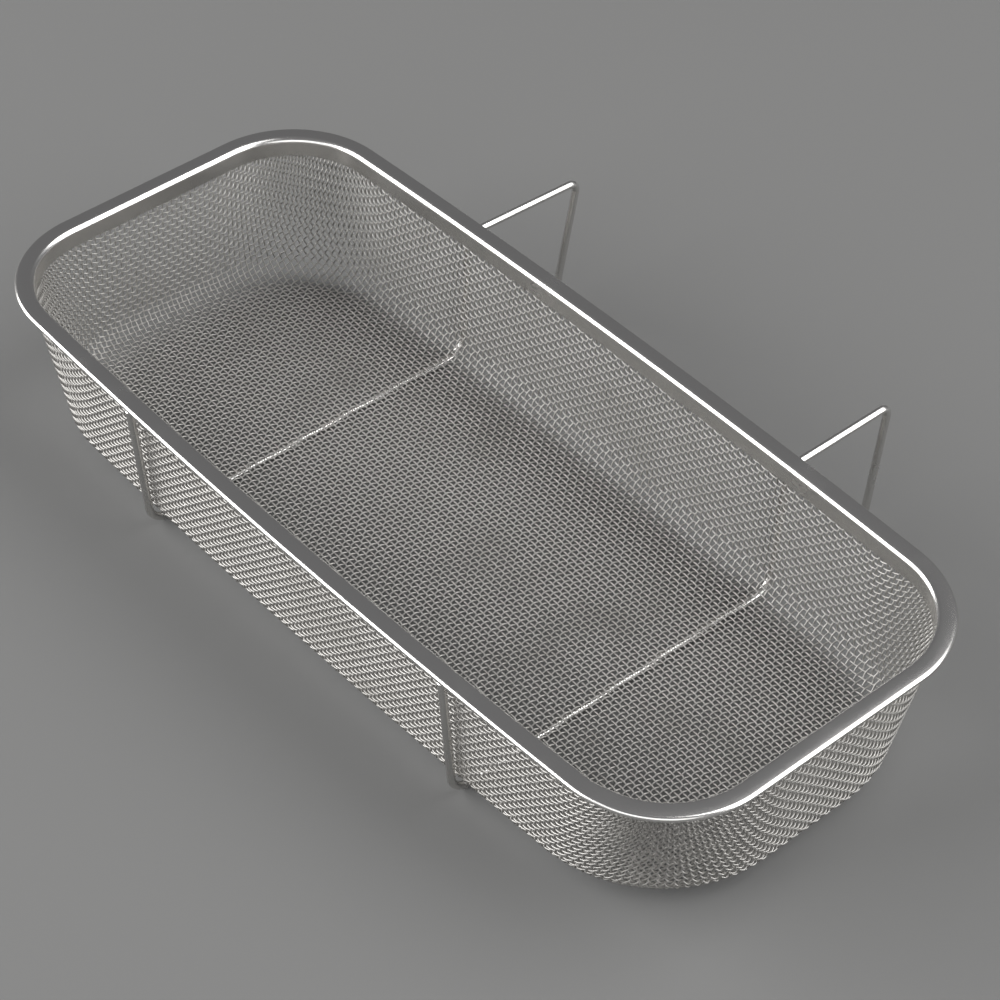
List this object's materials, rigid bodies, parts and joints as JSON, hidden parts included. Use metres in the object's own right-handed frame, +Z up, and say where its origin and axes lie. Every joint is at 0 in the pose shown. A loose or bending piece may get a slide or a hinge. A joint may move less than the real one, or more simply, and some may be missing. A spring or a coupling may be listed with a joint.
{
  "type": "sink strainer basket",
  "caption": "Oblong woven steel wire basket with a folded rim and two bent wire hooks that hang it on the edge of a sink.",
  "frame": {"origin": "middle of the bottom of the whole part's box, on the surface that the two hook wires stand on", "axes": "+X along the basket, +Y from the basket to the hooks, +Z up"},
  "size_m": [0.3, 0.175, 0.0506],
  "materials": {
    "cloth_steel": "bright woven wire cloth, annealed stainless steel",
    "rim_steel": "bright cold-rolled stainless strip with fine lengthwise drawing marks",
    "wire_steel": "bright drawn stainless rod"
  },
  "bodies": {
    "root": {"mesh_basket": "cloth_steel", "rim_band": "rim_steel", "hook_wire_left": "wire_steel", "hook_wire_right": "wire_steel"}
  },
  "joints": []
}
